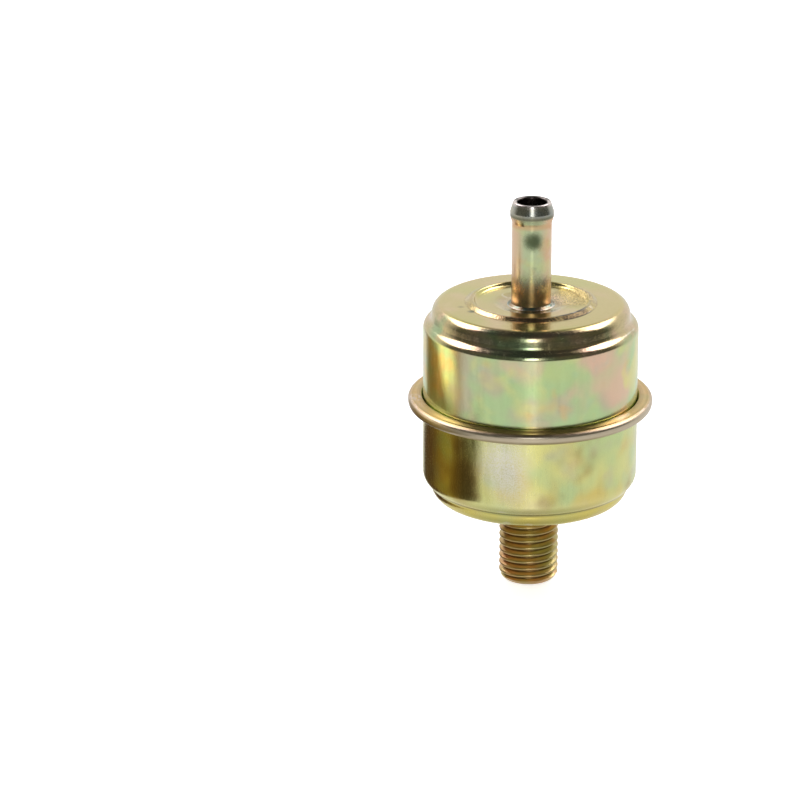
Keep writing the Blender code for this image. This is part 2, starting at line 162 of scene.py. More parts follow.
class Tree:
    """Short calls for building a node tree. Values may be numbers, colours or sockets."""

    def __init__(self, tree):
        self.tree = tree
        tree.nodes.clear()

    def add(self, kind, inputs=(), **settings):
        node = self.tree.nodes.new(kind)
        for key, value in settings.items():
            setattr(node, key, value)
        for key, value in dict(inputs).items():
            self.put(node.inputs[key], value)
        return node

    def put(self, socket, value):
        if isinstance(value, bpy.types.NodeSocket):
            self.tree.links.new(value, socket)
        elif socket.type == "RGBA" and len(value) == 3:
            socket.default_value = (*value, 1.0)
        else:
            socket.default_value = value

    def math(self, operation, a, b=0.0, clamp=False):
        return self.add(
            "ShaderNodeMath", {0: a, 1: b}, operation=operation, use_clamp=clamp
        ).outputs[0]

    def total(self, *values):
        result = values[0]
        for value in values[1:]:
            result = self.math("ADD", result, value)
        return result

    def vector(self, operation, a, b=(0.0, 0.0, 0.0)):
        node = self.add("ShaderNodeVectorMath", {0: a, 1: b}, operation=operation)
        return node.outputs["Value" if operation in ("DISTANCE", "LENGTH") else "Vector"]

    def split(self, vector):
        return self.add("ShaderNodeSeparateXYZ", {0: vector}).outputs

    def join(self, x, y, z):
        return self.add("ShaderNodeCombineXYZ", {0: x, 1: y, 2: z}).outputs[0]

    def fade(self, value, start, end, first=0.0, last=1.0):
        """first below start, last above end, smooth in between."""
        node = self.add(
            "ShaderNodeMapRange",
            {"Value": value, "From Min": start, "From Max": end, "To Min": first, "To Max": last},
            interpolation_type="SMOOTHSTEP",
        )
        return node.outputs["Result"]

    def noise(self, vector, scale, detail=3.0, roughness=0.55, distortion=0.0):
        node = self.add(
            "ShaderNodeTexNoise",
            {
                "Vector": vector,
                "Scale": scale,
                "Detail": detail,
                "Roughness": roughness,
                "Distortion": distortion,
            },
        )
        return node.outputs[0]

    def ramp(self, value, stops):
        node = self.add("ShaderNodeValToRGB", {0: value})
        elements = node.color_ramp.elements
        while len(elements) < len(stops):
            elements.new(0.5)
        for element, (place, colour) in zip(elements, stops):
            element.position = place
            element.color = (*colour, 1.0)
        return node.outputs[0]

    def mix(self, share, first, second):
        node = self.add("ShaderNodeMix", data_type="RGBA")
        self.put(node.inputs[0], share)
        self.put(node.inputs[6], first)
        self.put(node.inputs[7], second)
        return node.outputs[2]

    def bump(self, height, strength, distance):
        inputs = {"Height": height, "Strength": strength, "Distance": distance}
        return self.add("ShaderNodeBump", inputs).outputs[0]


# --- Studio ------------------------------------------------------------------------------------


def studio_direction(t):
    """(azimuth, elevation) in degrees of what a ray meets: azimuth 0 is -Y, 90 is +X."""
    direction = t.vector("NORMALIZE", t.add("ShaderNodeTexCoord").outputs["Generated"])
    x, y, z = t.split(direction)
    to_degrees = 180 / math.pi
    azimuth = t.math("MULTIPLY", t.math("ARCTAN2", x, t.math("MULTIPLY", y, -1.0)), to_degrees)
    elevation = t.math("MULTIPLY", t.math("ARCSINE", z), to_degrees)
    return azimuth, elevation


# Each card: azimuth, half its width, elevation, half its height, soft edge (all degrees), colour
CARDS = [
    (-124, 28, 46, 11, 5, (6.4, 5.8, 6.2)),
    (124, 28, 46, 11, 5, (6.4, 5.8, 6.2)),
    (0, 6, 20, 16, 3, (5.0, 5.1, 5.3)),
    (0, 6, -28, 18, 6, (1.35, 1.35, 1.28)),
]


def light_the_studio():
    """White table and backdrop, a dark room in front and overhead, and soft lights."""
    world = bpy.data.worlds.new("studio")
    world.use_nodes = True
    bpy.context.scene.world = world
    t = Tree(world.node_tree)
    azimuth, elevation = studio_direction(t)
    up = t.math("DIVIDE", t.math("ADD", elevation, 90.0), 180.0)
    front = t.ramp(
        up,
        [
            (0.0, (0.46, 0.45, 0.38)),
            (0.16, (0.70, 0.69, 0.62)),
            (0.30, (0.93, 0.93, 0.91)),
            (0.435, (0.95, 0.95, 0.93)),
            (0.472, (0.08, 0.085, 0.08)),
            (0.56, (0.12, 0.125, 0.10)),
            (0.72, (0.12, 0.12, 0.10)),
            (0.80, (0.06, 0.06, 0.06)),
            (1.0, (0.05, 0.05, 0.05)),
        ],
    )
    back = t.ramp(
        up,
        [
            (0.0, (0.46, 0.45, 0.38)),
            (0.16, (0.70, 0.69, 0.62)),
            (0.30, (0.95, 0.95, 0.93)),
            (0.68, (0.96, 0.96, 0.95)),
            (0.74, (0.50, 0.50, 0.48)),
            (0.86, (0.07, 0.07, 0.07)),
            (1.0, (0.05, 0.05, 0.05)),
        ],
    )
    light = t.mix(t.fade(t.math("ABSOLUTE", azimuth), 92, 118), front, back)
    for card_azimuth, half_width, card_elevation, half_height, soft, colour in CARDS:
        turn = t.add(
            "ShaderNodeMath",
            {0: t.math("SUBTRACT", azimuth, card_azimuth), 1: 180.0, 2: -180.0},
            operation="WRAP",
        ).outputs[0]
        rise = t.math("ABSOLUTE", t.math("SUBTRACT", elevation, card_elevation))
        across = t.fade(t.math("ABSOLUTE", turn), half_width - soft, half_width + soft, 1, 0)
        upright = t.fade(rise, half_height - soft, half_height + soft, 1, 0)
        light = t.mix(t.math("MULTIPLY", across, upright), light, colour)
    seen = t.add("ShaderNodeLightPath").outputs["Is Camera Ray"]
    shown = t.mix(seen, light, (1.0, 1.0, 1.0))
    background = t.add("ShaderNodeBackground", {"Color": shown, "Strength": 1.0})
    t.add("ShaderNodeOutputWorld", {"Surface": background.outputs[0]})


def stand_side_card():
    """Dark gold card left of the filter, seen only as a reflection, with a bright slanting streak."""
    turn = math.radians(-112)
    away = Vector((math.sin(turn), -math.cos(turn), 0))
    along = Vector((math.cos(turn), math.sin(turn), 0))
    mesh = bpy.data.meshes.new("side_card")
    corners = [(-30, -8), (96, -8), (96, 56), (-30, 56)]
    places = [away * 46 + along * u + Vector((0, 0, z)) for u, z in corners]
    mesh.from_pydata([tuple(place * MM) for place in places], [], [(0, 1, 2, 3)])
    card = bpy.data.objects.new("side_card", mesh)
    bpy.context.scene.collection.objects.link(card)
    card.visible_camera = False
    card.visible_diffuse = False
    card.visible_shadow = False
    material, t = new_material("side_card")
    p = in_millimetres(t)
    across = t.add("ShaderNodeVectorMath", {0: p, 1: tuple(along)}, operation="DOT_PRODUCT")
    u = across.outputs["Value"]
    z = t.split(p)[2]
    cloud = t.noise(p, 0.11, 3.0, 0.6)
    dark = t.mix(t.fade(u, 2, 24), (0.10, 0.055, 0.03), (0.40, 0.30, 0.07))
    dark = t.mix(t.fade(u, 26, 48), dark, (0.12, 0.11, 0.06))
    upper = t.mix(t.fade(u, -6, 14), (0.30, 0.22, 0.09), (0.42, 0.28, 0.11))
    upper = t.mix(t.fade(u, 32, 40), upper, (0.62, 0.40, 0.19))
    shade = t.mix(t.fade(z, 22, 30), dark, upper)
    middle = t.math("ADD", t.math("MULTIPLY", z, -0.9), 61.0)
    off = t.math("ABSOLUTE", t.math("SUBTRACT", u, middle))
    width = t.fade(z, 22, 44, 6.0, 12.0)
    streak = t.fade(t.math("DIVIDE", off, width), 0.45, 1.15, 1.0, 0.0)
    lit = t.math("MULTIPLY", streak, t.fade(z, 25, 38))
    glow = t.mix(lit, shade, (2.1, 1.9, 1.25))
    glow = t.mix(t.fade(cloud, 0.3, 0.75, 0.0, 0.35), glow, (0.05, 0.04, 0.02))
    high_up = t.fade(z, 17, 24)
    right = t.math("ADD", u, t.math("MULTIPLY", high_up, 38.0))
    left = t.math("SUBTRACT", u, t.math("MULTIPLY", high_up, 14.0))
    solid = t.math("MULTIPLY", t.fade(z, 42, 54, 1.0, 0.0), t.fade(right, 72, 90, 1.0, 0.0))
    solid = t.math("MULTIPLY", solid, t.fade(left, -26, -18))
    emission = t.add("ShaderNodeEmission", {"Color": glow})
    clear = t.add("ShaderNodeBsdfTransparent")
    surface = t.add("ShaderNodeMixShader", {0: solid, 1: clear.outputs[0], 2: emission.outputs[0]})
    t.add("ShaderNodeOutputMaterial", {"Surface": surface.outputs[0]})
    mesh.materials.append(material)


def lay_floor():
    """Pale floor. It takes the filter's soft shadow, and from below it can be seen through."""
    mesh = bpy.data.meshes.new("floor")
    half = 3.0
    corners = [(-half, -half, 0), (half, -half, 0), (half, half, 0), (-half, half, 0)]
    mesh.from_pydata(corners, [], [(0, 1, 2, 3)])
    floor = bpy.data.objects.new("floor", mesh)
    bpy.context.scene.collection.objects.link(floor)
    floor.visible_glossy = False
    material, t = new_material("floor")
    grain = t.noise(t.add("ShaderNodeTexCoord").outputs["Object"], 900.0)
    pale = t.mix(t.fade(grain, 0.3, 0.7), (0.80, 0.80, 0.79), (0.83, 0.83, 0.82))
    matte = t.add("ShaderNodeBsdfDiffuse", {"Color": pale})
    glow = t.add("ShaderNodeEmission", {"Color": pale, "Strength": 0.85})
    lit = t.add("ShaderNodeAddShader", {0: matte.outputs[0], 1: glow.outputs[0]})
    clear = t.add("ShaderNodeBsdfTransparent")
    underside = t.add("ShaderNodeNewGeometry").outputs["Backfacing"]
    surface = t.add(
        "ShaderNodeMixShader", {0: underside, 1: lit.outputs[0], 2: clear.outputs[0]}
    )
    t.add("ShaderNodeOutputMaterial", {"Surface": surface.outputs[0]})
    mesh.materials.append(material)


def place_camera():
    """A long lens close to 20 degrees above the filter, which stands right of the middle."""
    data = bpy.data.cameras.new("camera")
    data.sensor_width = 36.0
    data.lens = 185.4
    data.clip_start = 0.05
    data.clip_end = 20.0
    camera = bpy.data.objects.new("camera", data)
    bpy.context.scene.collection.objects.link(camera)
    tilt = Matrix.Rotation(math.radians(70.14), 4, "X")
    roll = Matrix.Rotation(math.radians(-0.04), 4, "Z")
    camera.matrix_world = Matrix.Translation((-0.0261, -0.7777, 0.3189)) @ tilt @ roll
    bpy.context.scene.camera = camera


# --- Outlines ------------------------------------------------------------------------------------


def arc(centre_r, centre_z, radius, start, end, steps):
    """Points of an arc in the (r, z) plane, its angles in degrees from +r towards +z."""
    angles = [math.radians(start + (end - start) * i / steps) for i in range(steps + 1)]
    return [(centre_r + radius * math.cos(a), centre_z + radius * math.sin(a)) for a in angles]


def rounded(corners, closed=False, steps=8):
    """The outline through (r, z, fillet radius) corners, each corner rounded by its fillet."""
    count = len(corners)
    outline = []
    for i, (r, z, fillet) in enumerate(corners):
        at_end = not closed and i in (0, count - 1)
        here = Vector((r, z))
        if fillet == 0 or at_end:
            outline.append((r, z))
            continue
        back = (Vector(corners[i - 1][:2]) - here).normalized()
        ahead = (Vector(corners[(i + 1) % count][:2]) - here).normalized()
        half_angle = back.angle(ahead) / 2
        reach = fillet / math.tan(half_angle)
        centre = here + (back + ahead).normalized() * (fillet / math.sin(half_angle))
        first = here + back * reach - centre
        last = here + ahead * reach - centre
        swing = first.angle_signed(last)
        for step in range(steps + 1):
            turned = first.copy()
            turned.rotate(Matrix.Rotation(-swing * step / steps, 2))
            outline.append(tuple(centre + turned))
    return outline


def sheet_outline(outer, thickness):
    """Closed outline of a sheet whose outer side is given, running down the outside."""
    points = np.array(outer)
    steps = np.diff(points, axis=0)
    steps /= np.linalg.norm(steps, axis=1)[:, None]
    sides = np.stack([-steps[:, 1], steps[:, 0]], axis=1)
    normals = np.vstack([sides[:1], sides[:-1] + sides[1:], sides[-1:]])
    normals /= np.linalg.norm(normals, axis=1)[:, None]
    stretch = np.ones(len(points))
    stretch[1:-1] = np.einsum("ij,ij->i", normals[1:-1], sides[1:])
    inner = points - normals * (thickness / stretch)[:, None]
    return [tuple(p) for p in points] + [tuple(p) for p in inner[::-1]]


# --- Meshes --------------------------------------------------------------------------------------


def new_piece(name, vertices, faces, material, corner=32):
    """An object from points in millimetres, its doubles merged, smooth but for sharp corners."""
    mesh = bpy.data.meshes.new(name)
    mesh.from_pydata((np.array(vertices, float) * MM).tolist(), [], faces)
    shape = bmesh.new()
    shape.from_mesh(mesh)
    bmesh.ops.remove_doubles(shape, verts=shape.verts[:], dist=0.002 * MM)
    bmesh.ops.dissolve_degenerate(shape, edges=shape.edges[:], dist=0.001 * MM)
    loose = [edge for edge in shape.edges if not edge.link_faces]
    bmesh.ops.delete(shape, geom=loose, context="EDGES")
    bmesh.ops.recalc_face_normals(shape, faces=shape.faces[:])
    shape.to_mesh(mesh)
    shape.free()
    mesh.shade_smooth()
    mesh.set_sharp_from_angle(angle=math.radians(corner))
    obj = bpy.data.objects.new(name, mesh)
    bpy.context.scene.collection.objects.link(obj)
    mesh.materials.append(material)
    return obj


def grid_faces(rows, columns, wrap_rows, wrap_columns, first=0):
    """Quads between rows of points that are numbered row by row from first."""
    faces = []
    for i in range(rows if wrap_rows else rows - 1):
        for j in range(columns if wrap_columns else columns - 1):
            below = (i + 1) % rows
            beside = (j + 1) % columns
            faces.append(
                (
                    first + i * columns + j,
                    first + i * columns + beside,
                    first + below * columns + beside,
                    first + below * columns + j,
                )
            )
    return faces


def turned(name, outline, material, sides=SIDES, wave=None):
    """A body turned from a closed (r, z) outline. wave(point) gives each point's small shift."""
    vertices = []
    for r, z in outline:
        for side in range(sides):
            angle = 2 * math.pi * side / sides
            point = Vector((r * math.cos(angle), r * math.sin(angle), z))
            vertices.append(tuple(point + wave(point)) if wave else tuple(point))
    faces = grid_faces(len(outline), sides, True, True)
    return new_piece(name, vertices, faces, material)


def finish_piece(piece, body, slot, *nodes):
    """Says what the piece rides on and hides the CAD nodes that it replaces. The slot argument is not
    used.
    """
    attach(piece, body)
    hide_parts(*nodes)
    return piece


# --- Materials -----------------------------------------------------------------------------------

# Tints of the yellow zinc plating
PALE_GREEN = (0.45, 0.60, 0.31)
YELLOW_GREEN = (0.56, 0.63, 0.26)
TEAL = (0.36, 0.55, 0.42)
GREY_PINK = (0.53, 0.46, 0.34)
PINK = (0.74, 0.49, 0.37)
TAN = (0.58, 0.49, 0.27)
YELLOW = (0.70, 0.67, 0.26)
GOLD = (0.68, 0.52, 0.16)
COPPER = (0.62, 0.34, 0.15)
BRONZE = (0.36, 0.24, 0.08)
SILVER = (0.74, 0.72, 0.58)
OLIVE = (0.57, 0.47, 0.20)
SOFT = 0.09  # how far a cloud's edge spreads, in steps of its noise


def new_material(name):
    """An empty material and its tree."""
    material = bpy.data.materials.new(name)
    material.use_nodes = True
    return material, Tree(material.node_tree)


def in_millimetres(t):
    """The shaded point in the object's own coordinates."""
    position = t.add("ShaderNodeTexCoord").outputs["Object"]
    return t.vector("MULTIPLY", position, (1 / MM, 1 / MM, 1 / MM))


def patches(t, position, spots):
    """Sum of soft spots, each (x, y, z, radius, amount) in millimetres."""
    total = 0.0
    for x, y, z, radius, amount in spots:
        away = t.vector("DISTANCE", position, (x, y, z))
        total = t.math("ADD", t.fade(away, 0.0, radius, amount, 0.0), total)
    return total


def on_wall(azimuth, z):
    """The point of the wall at an azimuth in degrees, 0 at -Y and growing towards +X."""
    a = math.radians(azimuth)
    return (BODY_R * math.sin(a), -BODY_R * math.cos(a), z)


def layer(t, colour, p, tint, scale, shift, start, end, share=1.0, spots=()):
    """Lays a tint over the colour in soft clouds, thicker at the spots."""
    moved = t.vector("ADD", p, (shift, shift * 0.7, -shift))
    cloud = t.noise(moved, scale, 1.6, 0.4, 0.15)
    if spots:
        cloud = t.math("ADD", cloud, patches(t, p, spots))
    return t.mix(t.fade(cloud, start - SOFT, end + SOFT, 0.0, share), colour, tint)


def radius_and_height(t, p):
    """Distance from the filter's axis, and height above its lowest point."""
    x, y, z = t.split(p)
    flat = t.join(x, y, 0.0)
    return t.vector("LENGTH", flat), z


def plated_surface(t, p, colour, rough=0.2, grain=1.0, matte=None, extra_height=None):
    """Metal shader with speckle, worn edges, drawing marks and fine orange peel."""
    speckle = t.noise(p, 7.0, 2.0, 0.7)
    colour = t.mix(t.fade(speckle, 0.60, 0.80, 0.0, 0.30 * grain), colour, (0.26, 0.20, 0.10))
    worn = t.add("ShaderNodeNewGeometry").outputs["Pointiness"]
    colour = t.mix(t.fade(worn, 0.53, 0.62, 0.0, 0.35), colour, (0.82, 0.76, 0.66))
    smear = t.noise(t.vector("MULTIPLY", p, (1.0, 1.0, 0.15)), 0.9, 4.0, 0.65)
    roughness = t.total(
        t.fade(smear, 0.3, 0.75, rough - 0.04, rough + 0.06),
        t.fade(speckle, 0.5, 0.8, 0.0, 0.12),
    )
    if matte:
        roughness = t.math("ADD", roughness, matte)
    drawn = t.noise(t.vector("MULTIPLY", p, (1.0, 1.0, 0.06)), 2.2, 3.0, 0.6)
    peel = t.noise(p, 2.4, 3.0, 0.6)
    height = t.total(
        t.math("MULTIPLY", drawn, 0.35), t.math("MULTIPLY", peel, 0.8), t.math("MULTIPLY", speckle, 0.12)
    )
    if extra_height:
        height = t.math("ADD", height, extra_height)
    normal = t.bump(height, 0.6 * grain, 0.02 * MM)
    shader = t.add(
        "ShaderNodeBsdfPrincipled",
        {"Base Color": colour, "Metallic": 1.0, "Roughness": roughness, "Normal": normal},
    )
    t.add("ShaderNodeOutputMaterial", {"Surface": shader.outputs[0]})


def upper_plating():
    """Pale green wall with pink and yellow clouds, an olive top, a painted gold reflection at the left
    and painted shade on the front of the raised ring.
    """
    material, t = new_material("upper_plating")
    p = in_millimetres(t)
    r, z = radius_and_height(t, p)
    wall = layer(t, PALE_GREEN, p, YELLOW_GREEN, 0.13, 3.0, 0.50, 0.64, 0.7)
    wall = layer(
        t, wall, p, GREY_PINK, 0.16, 21.0, 0.56, 0.68, 0.8,
        [(*on_wall(-38, 50), 10, 0.26), (*on_wall(-44, 43), 7, 0.2), (*on_wall(12, 45), 6, 0.14)],
    )
    wall = layer(
        t, wall, p, PINK, 0.13, 40.0, 0.58, 0.74, 0.85,
        [(*on_wall(50, 50), 12, 0.36), (*on_wall(56, 42), 9, 0.28), (*on_wall(-30, 41), 4, 0.16)],
    )
    wall = layer(t, wall, p, YELLOW, 0.2, 57.0, 0.60, 0.74, 0.8, [(*on_wall(72, 47), 8, 0.36)])
    # Painted reflection: gold and copper clouds at the wall's left paint a bright gold streak; away from
    # the spots the gold cloud is random tone.
    wall = layer(t, wall, p, GOLD, 0.2, 70.0, 0.72, 0.86, 0.9, [(*on_wall(-66, 48), 12, 0.42)])
    wall = layer(
        t, wall, p, (0.78, 0.46, 0.17), 0.2, 77.0, 0.72, 0.86, 0.85, [(*on_wall(-49, 50), 6, 0.42)]
    )
    wall = layer(t, wall, p, TEAL, 0.3, 90.0, 0.66, 0.74, 0.3)
    top = layer(
        t, OLIVE, p, (0.50, 0.50, 0.16), 0.10, 12.0, 0.50, 0.66, 0.6, [(10, 10, 58, 14, 0.2)]
    )
    top = layer(
        t, top, p, PINK, 0.14, 33.0, 0.58, 0.74, 0.4,
        [(-15, 4, 58, 6, 0.14), (-8, -16, 58, 5, 0.12), (15, -12, 58, 5, 0.12)],
    )
    bend = layer(
        t, (0.55, 0.45, 0.24), p, (0.34, 0.46, 0.25), 0.2, 88.0, 0.54, 0.68, 0.9,
        [(*on_wall(-16, 56), 11, 0.4)],
    )
    bend = layer(t, bend, p, PINK, 0.22, 61.0, 0.56, 0.72, 0.6, [(*on_wall(-34, 55), 8, 0.24)])
    speckle = t.noise(p, 4.5, 2.0, 0.7)
    bend = t.mix(t.fade(speckle, 0.54, 0.66, 0.0, 0.55), bend, (0.13, 0.14, 0.08))
    colour = t.mix(t.fade(z, 53.2, 54.6), wall, bend)
    colour = t.mix(t.fade(z, 58.35, 58.75), colour, top)
    dip = t.math("MULTIPLY", t.fade(r, 6.5, 9.5, 1.0, 0.0), t.fade(z, 57.6, 58.0))
    colour = t.mix(t.math("MULTIPLY", dip, 0.30), colour, (0.46, 0.36, 0.24))
    ring = t.math("MULTIPLY", t.fade(r, 11.4, 11.8), t.fade(r, 13.1, 13.5, 1.0, 0.0))
    ring = t.math("MULTIPLY", ring, t.fade(z, 58.0, 58.4))
    scratches = t.noise(p, 3.2, 2.0, 0.6)
    scuffed = t.math("MULTIPLY", ring, t.fade(scratches, 0.42, 0.62))
    colour = t.mix(t.math("MULTIPLY", scuffed, 0.6), colour, (0.30, 0.20, 0.10))
    # Painted shade: the front of the raised ring is darkened brown.
    ring_front_shade = patches(t, p, [(-1.0, -12.5, 59, 7.0, 1.5)])
    ring_front_shade = t.math("MULTIPLY", ring_front_shade, ring, clamp=True)
    colour = t.mix(t.math("MULTIPLY", ring_front_shade, 0.8), colour, (0.30, 0.19, 0.10))
    # Painted shade: the raised ring's front right is darkened almost to black, a little lighter along
    # the scratches.
    ring_right_shade_scratched = patches(t, p, [(8.6, -9.2, 59, 6.5, 1.8)])
    ring_right_shade_scratched = t.math("MULTIPLY", ring_right_shade_scratched, ring, clamp=True)
    ring_right_shade_scratched = t.math("MULTIPLY", ring_right_shade_scratched, t.fade(scratches, 0.40, 0.66, 1.0, 0.75))
    colour = t.mix(ring_right_shade_scratched, colour, (0.026, 0.018, 0.008))
    spots = patches(t, p, [(-11.9, -6.2, 59.0, 1.3, 0.9), (-14.0, -3.3, 58.8, 1.0, 0.4)])
    colour = t.mix(spots, colour, (0.08, 0.10, 0.05))
    pebble = t.noise(p, 3.4, 2.0, 0.6)
    right = t.fade(t.vector("DISTANCE", p, (9.0, 2.6, 58.9)), 3.4, 6.6, 1.0, 0.0)
    right = t.math("MULTIPLY", right, t.fade(r, 12.0, 12.6, 1.0, 0.0))
    rough_spots = t.math("ADD", t.math("MULTIPLY", right, 17.0), t.math("MULTIPLY", ring, 3.0))
    extra = t.math("MULTIPLY", rough_spots, pebble)
    matte = t.math("MULTIPLY", right, 0.10)
    plated_surface(t, p, colour, 0.17, 1.0, matte, extra)
    return material


def lower_plating():
    """Yellow wall with gold and green clouds, a silver-white patch of painted sheen, painted shade at
    its left and in the crease, a painted highlight above the crease, a tan hem and a yellow end.
    """
    material, t = new_material("lower_plating")
    p = in_millimetres(t)
    r, z = radius_and_height(t, p)
    wall = layer(t, YELLOW, p, PALE_GREEN, 0.12, 8.0, 0.50, 0.66, 0.7, [(*on_wall(48, 30), 15, 0.22)])
    wall = layer(
        t, wall, p, GOLD, 0.14, 26.0, 0.54, 0.70, 0.8,
        [(*on_wall(24, 30), 9, 0.14), (*on_wall(-58, 30), 12, 0.2)],
    )
    wall = layer(t, wall, p, GREY_PINK, 0.18, 63.0, 0.60, 0.74, 0.6, [(*on_wall(2, 24), 5, 0.16)])
    wall = layer(t, wall, p, TEAL, 0.18, 80.0, 0.62, 0.76, 0.4, [(*on_wall(62, 26), 6, 0.2)])
    # Painted shade: dark bronze at the wall's left paints a dark reflection; away from the spots the
    # cloud is random tone.
    wall = layer(
        t, wall, p, BRONZE, 0.18, 97.0, 0.60, 0.84, 0.85,
        [(*on_wall(-44, 26), 9, 0.3), (*on_wall(-40, 33), 7, 0.22)],
    )
    # Painted sheen: a pale grey-white patch at the front left, broken by grain; its higher roughness is
    # set further down.
    sheen_patch = patches(t, p, [(*on_wall(-16, 32), 8, 1.2), (*on_wall(-11, 26), 6, 0.5)])
    grain = t.noise(p, 4.0, 3.0, 0.75)
    sheen_patch = t.math("MULTIPLY", sheen_patch, t.fade(grain, 0.35, 0.6, 0.25, 1.0), clamp=True)
    wall = t.mix(sheen_patch, wall, (0.82, 0.79, 0.68))
    end = layer(t, (0.66, 0.56, 0.16), p, PALE_GREEN, 0.14, 15.0, 0.56, 0.70, 0.4)
    end = layer(t, end, p, TAN, 0.2, 36.0, 0.56, 0.70, 0.5)
    colour = t.mix(t.fade(z, 20.4, 21.1, 1.0, 0.0), wall, end)
    # Painted highlight: a pale yellow band on the wall's lower rounding, just above the crease.
    low_wall_highlight = t.math("MULTIPLY", t.fade(z, 21.2, 25.0, 1.0, 0.0), t.fade(z, 20.9, 21.1))
    colour = t.mix(t.math("MULTIPLY", low_wall_highlight, 0.5), colour, (0.76, 0.70, 0.33))
    # Painted shade: a dark line along the crease.
    crease_shade = t.math("MULTIPLY", t.fade(z, 20.72, 20.86), t.fade(z, 21.0, 21.14, 1.0, 0.0))
    colour = t.mix(t.math("MULTIPLY", crease_shade, 0.7), colour, (0.22, 0.19, 0.07))
    hem = t.math("MULTIPLY", t.fade(r, 21.6, 21.9), t.fade(z, 36.6, 37.2))
    rim = layer(t, (0.60, 0.42, 0.17), p, (0.50, 0.42, 0.18), 0.18, 55.0, 0.46, 0.66, 0.8)
    rim = t.mix(t.fade(r, 23.6, 24.3), rim, (0.54, 0.46, 0.34))
    lines = t.noise(t.join(t.math("MULTIPLY", r, 5.0), z, 0.0), 1.0, 2.0, 0.5)
    rim = t.mix(t.fade(lines, 0.48, 0.62, 0.0, 0.5), rim, (0.34, 0.22, 0.09))
    colour = t.mix(hem, colour, rim)
    scuff = patches(t, p, [(-23.6, -2.5, 38.8, 3.5, 0.9), (-22.8, -7.0, 38.9, 2.5, 0.5)])
    scratched = t.noise(t.vector("MULTIPLY", p, (1.0, 0.35, 1.0)), 3.0, 3.0, 0.7)
    scuff = t.math("MULTIPLY", scuff, t.fade(scratched, 0.45, 0.6))
    colour = t.mix(scuff, colour, (0.70, 0.62, 0.58))
    hazy = patches(t, p, [(*on_wall(-13, 30), 10, 0.16)])
    hazy = t.math("ADD", hazy, t.math("MULTIPLY", hem, 0.12))
    plated_surface(t, p, colour, 0.22, 1.25, hazy)
    return material


def fitting_plating():
    """Brown and olive over the thread with painted shade in its roots, gold on the hexagon, copper on
    the end.
    """
    material, t = new_material("fitting_plating")
    p = in_millimetres(t)
    r, z = radius_and_height(t, p)
    thread = layer(
        t, (0.62, 0.38, 0.16), p, (0.50, 0.46, 0.18), 0.16, 5.0, 0.45, 0.62, 0.9,
        [(6, -3, 8, 8, 0.15)],
    )
    thread = layer(t, thread, p, (0.60, 0.30, 0.14), 0.25, 18.0, 0.50, 0.70, 0.7)
    crest = t.fade(r, 5.62, 5.92)
    thread = t.mix(t.math("MULTIPLY", crest, 0.4), thread, (0.36, 0.30, 0.14))
    # Painted shade: darker brown in the roots of the thread.
    thread = t.mix(t.fade(r, 5.1, 5.4, 0.7, 0.0), thread, (0.20, 0.13, 0.05))
    end = layer(t, (0.66, 0.46, 0.30), p, COPPER, 0.3, 9.0, 0.50, 0.65, 0.5)
    hexagon = layer(t, GOLD, p, (0.44, 0.44, 0.16), 0.2, 14.0, 0.48, 0.66, 0.8)
    colour = t.mix(t.fade(z, 0.0, 0.5, 1.0, 0.0), thread, end)
    colour = t.mix(t.fade(z, 14.0, 14.8), colour, hexagon)
    lathe = t.math("SINE", t.math("MULTIPLY", r, 42.0))
    flat = t.add("ShaderNodeNewGeometry").outputs["Normal"]
    facing = t.math("ABSOLUTE", t.split(flat)[2])
    turned_marks = t.math("MULTIPLY", lathe, t.fade(facing, 0.95, 0.99, 0.0, 0.25))
    rolled = t.math("MULTIPLY", t.fade(z, 12.0, 14.0, 1.0, 0.0), 0.10)
    plated_surface(t, p, colour, 0.24, 1.1, rolled, turned_marks)
    return material


